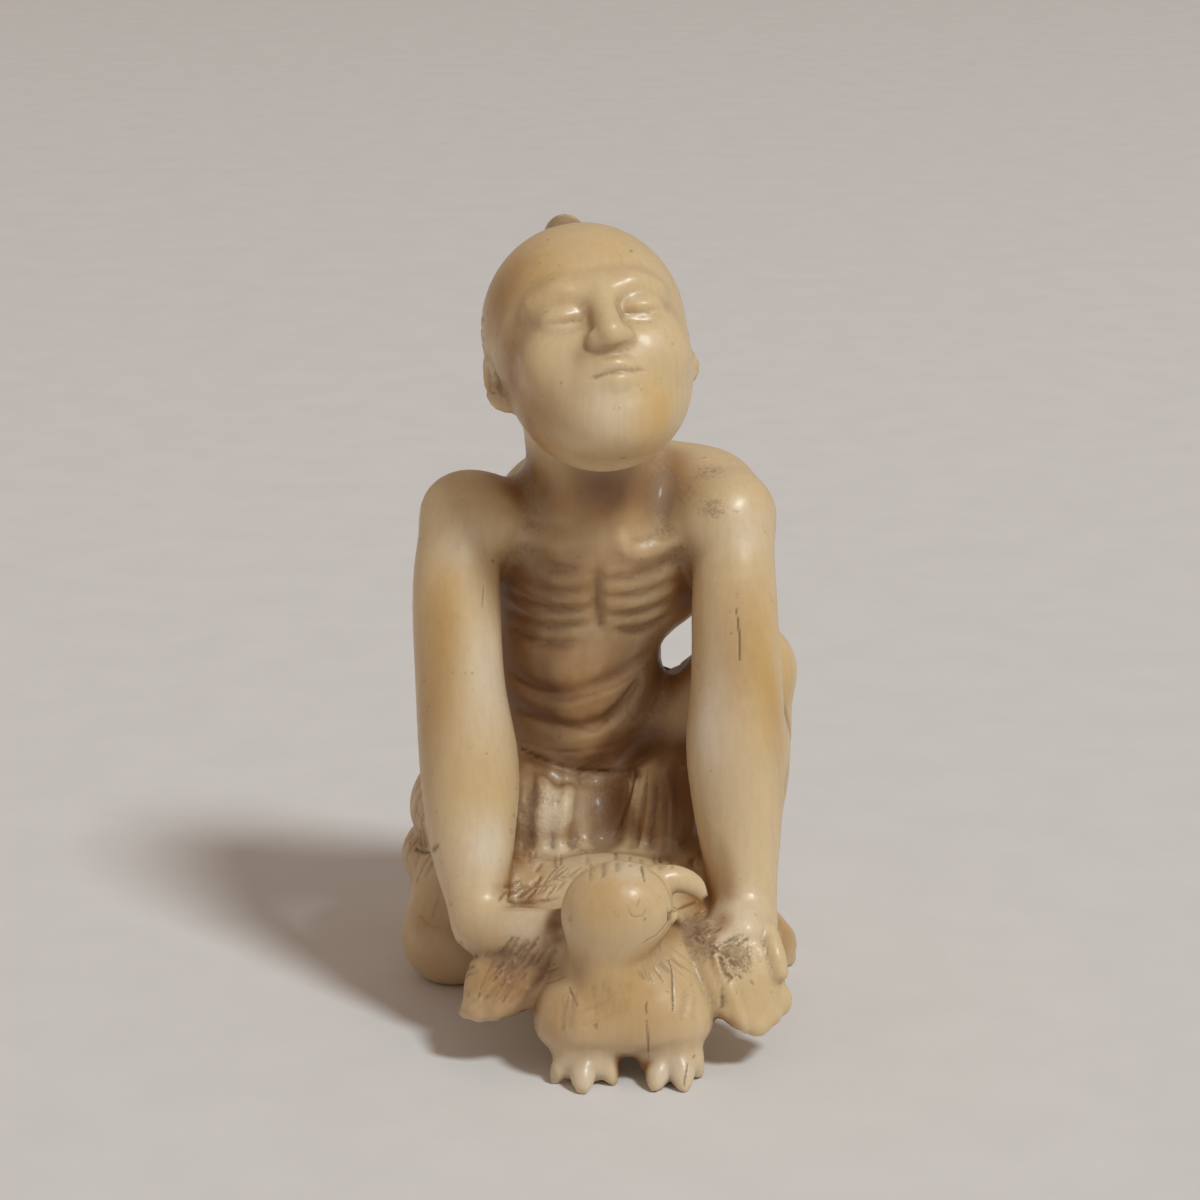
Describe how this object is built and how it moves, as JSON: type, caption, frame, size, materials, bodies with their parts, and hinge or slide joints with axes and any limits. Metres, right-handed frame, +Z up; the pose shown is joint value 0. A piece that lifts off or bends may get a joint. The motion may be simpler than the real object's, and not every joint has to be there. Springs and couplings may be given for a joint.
{
  "type": "netsuke",
  "caption": "Small carved figure ornament: a thin kneeling fisherman leans on straight arms and presses a cormorant with half-open wings to the ground.",
  "frame": {"origin": "on the ground, under the middle of the figure's bounding box", "axes": "+Z up along the figure's height; the kneeling man and the bird face -Y; +X is the man's left side"},
  "size_m": [0.0248, 0.0326, 0.048],
  "materials": {
    "ivory": "polished ivory, cream to yellow, with brown in the hollows"
  },
  "bodies": {
    "root": {"netsuke": "ivory"}
  },
  "joints": []
}
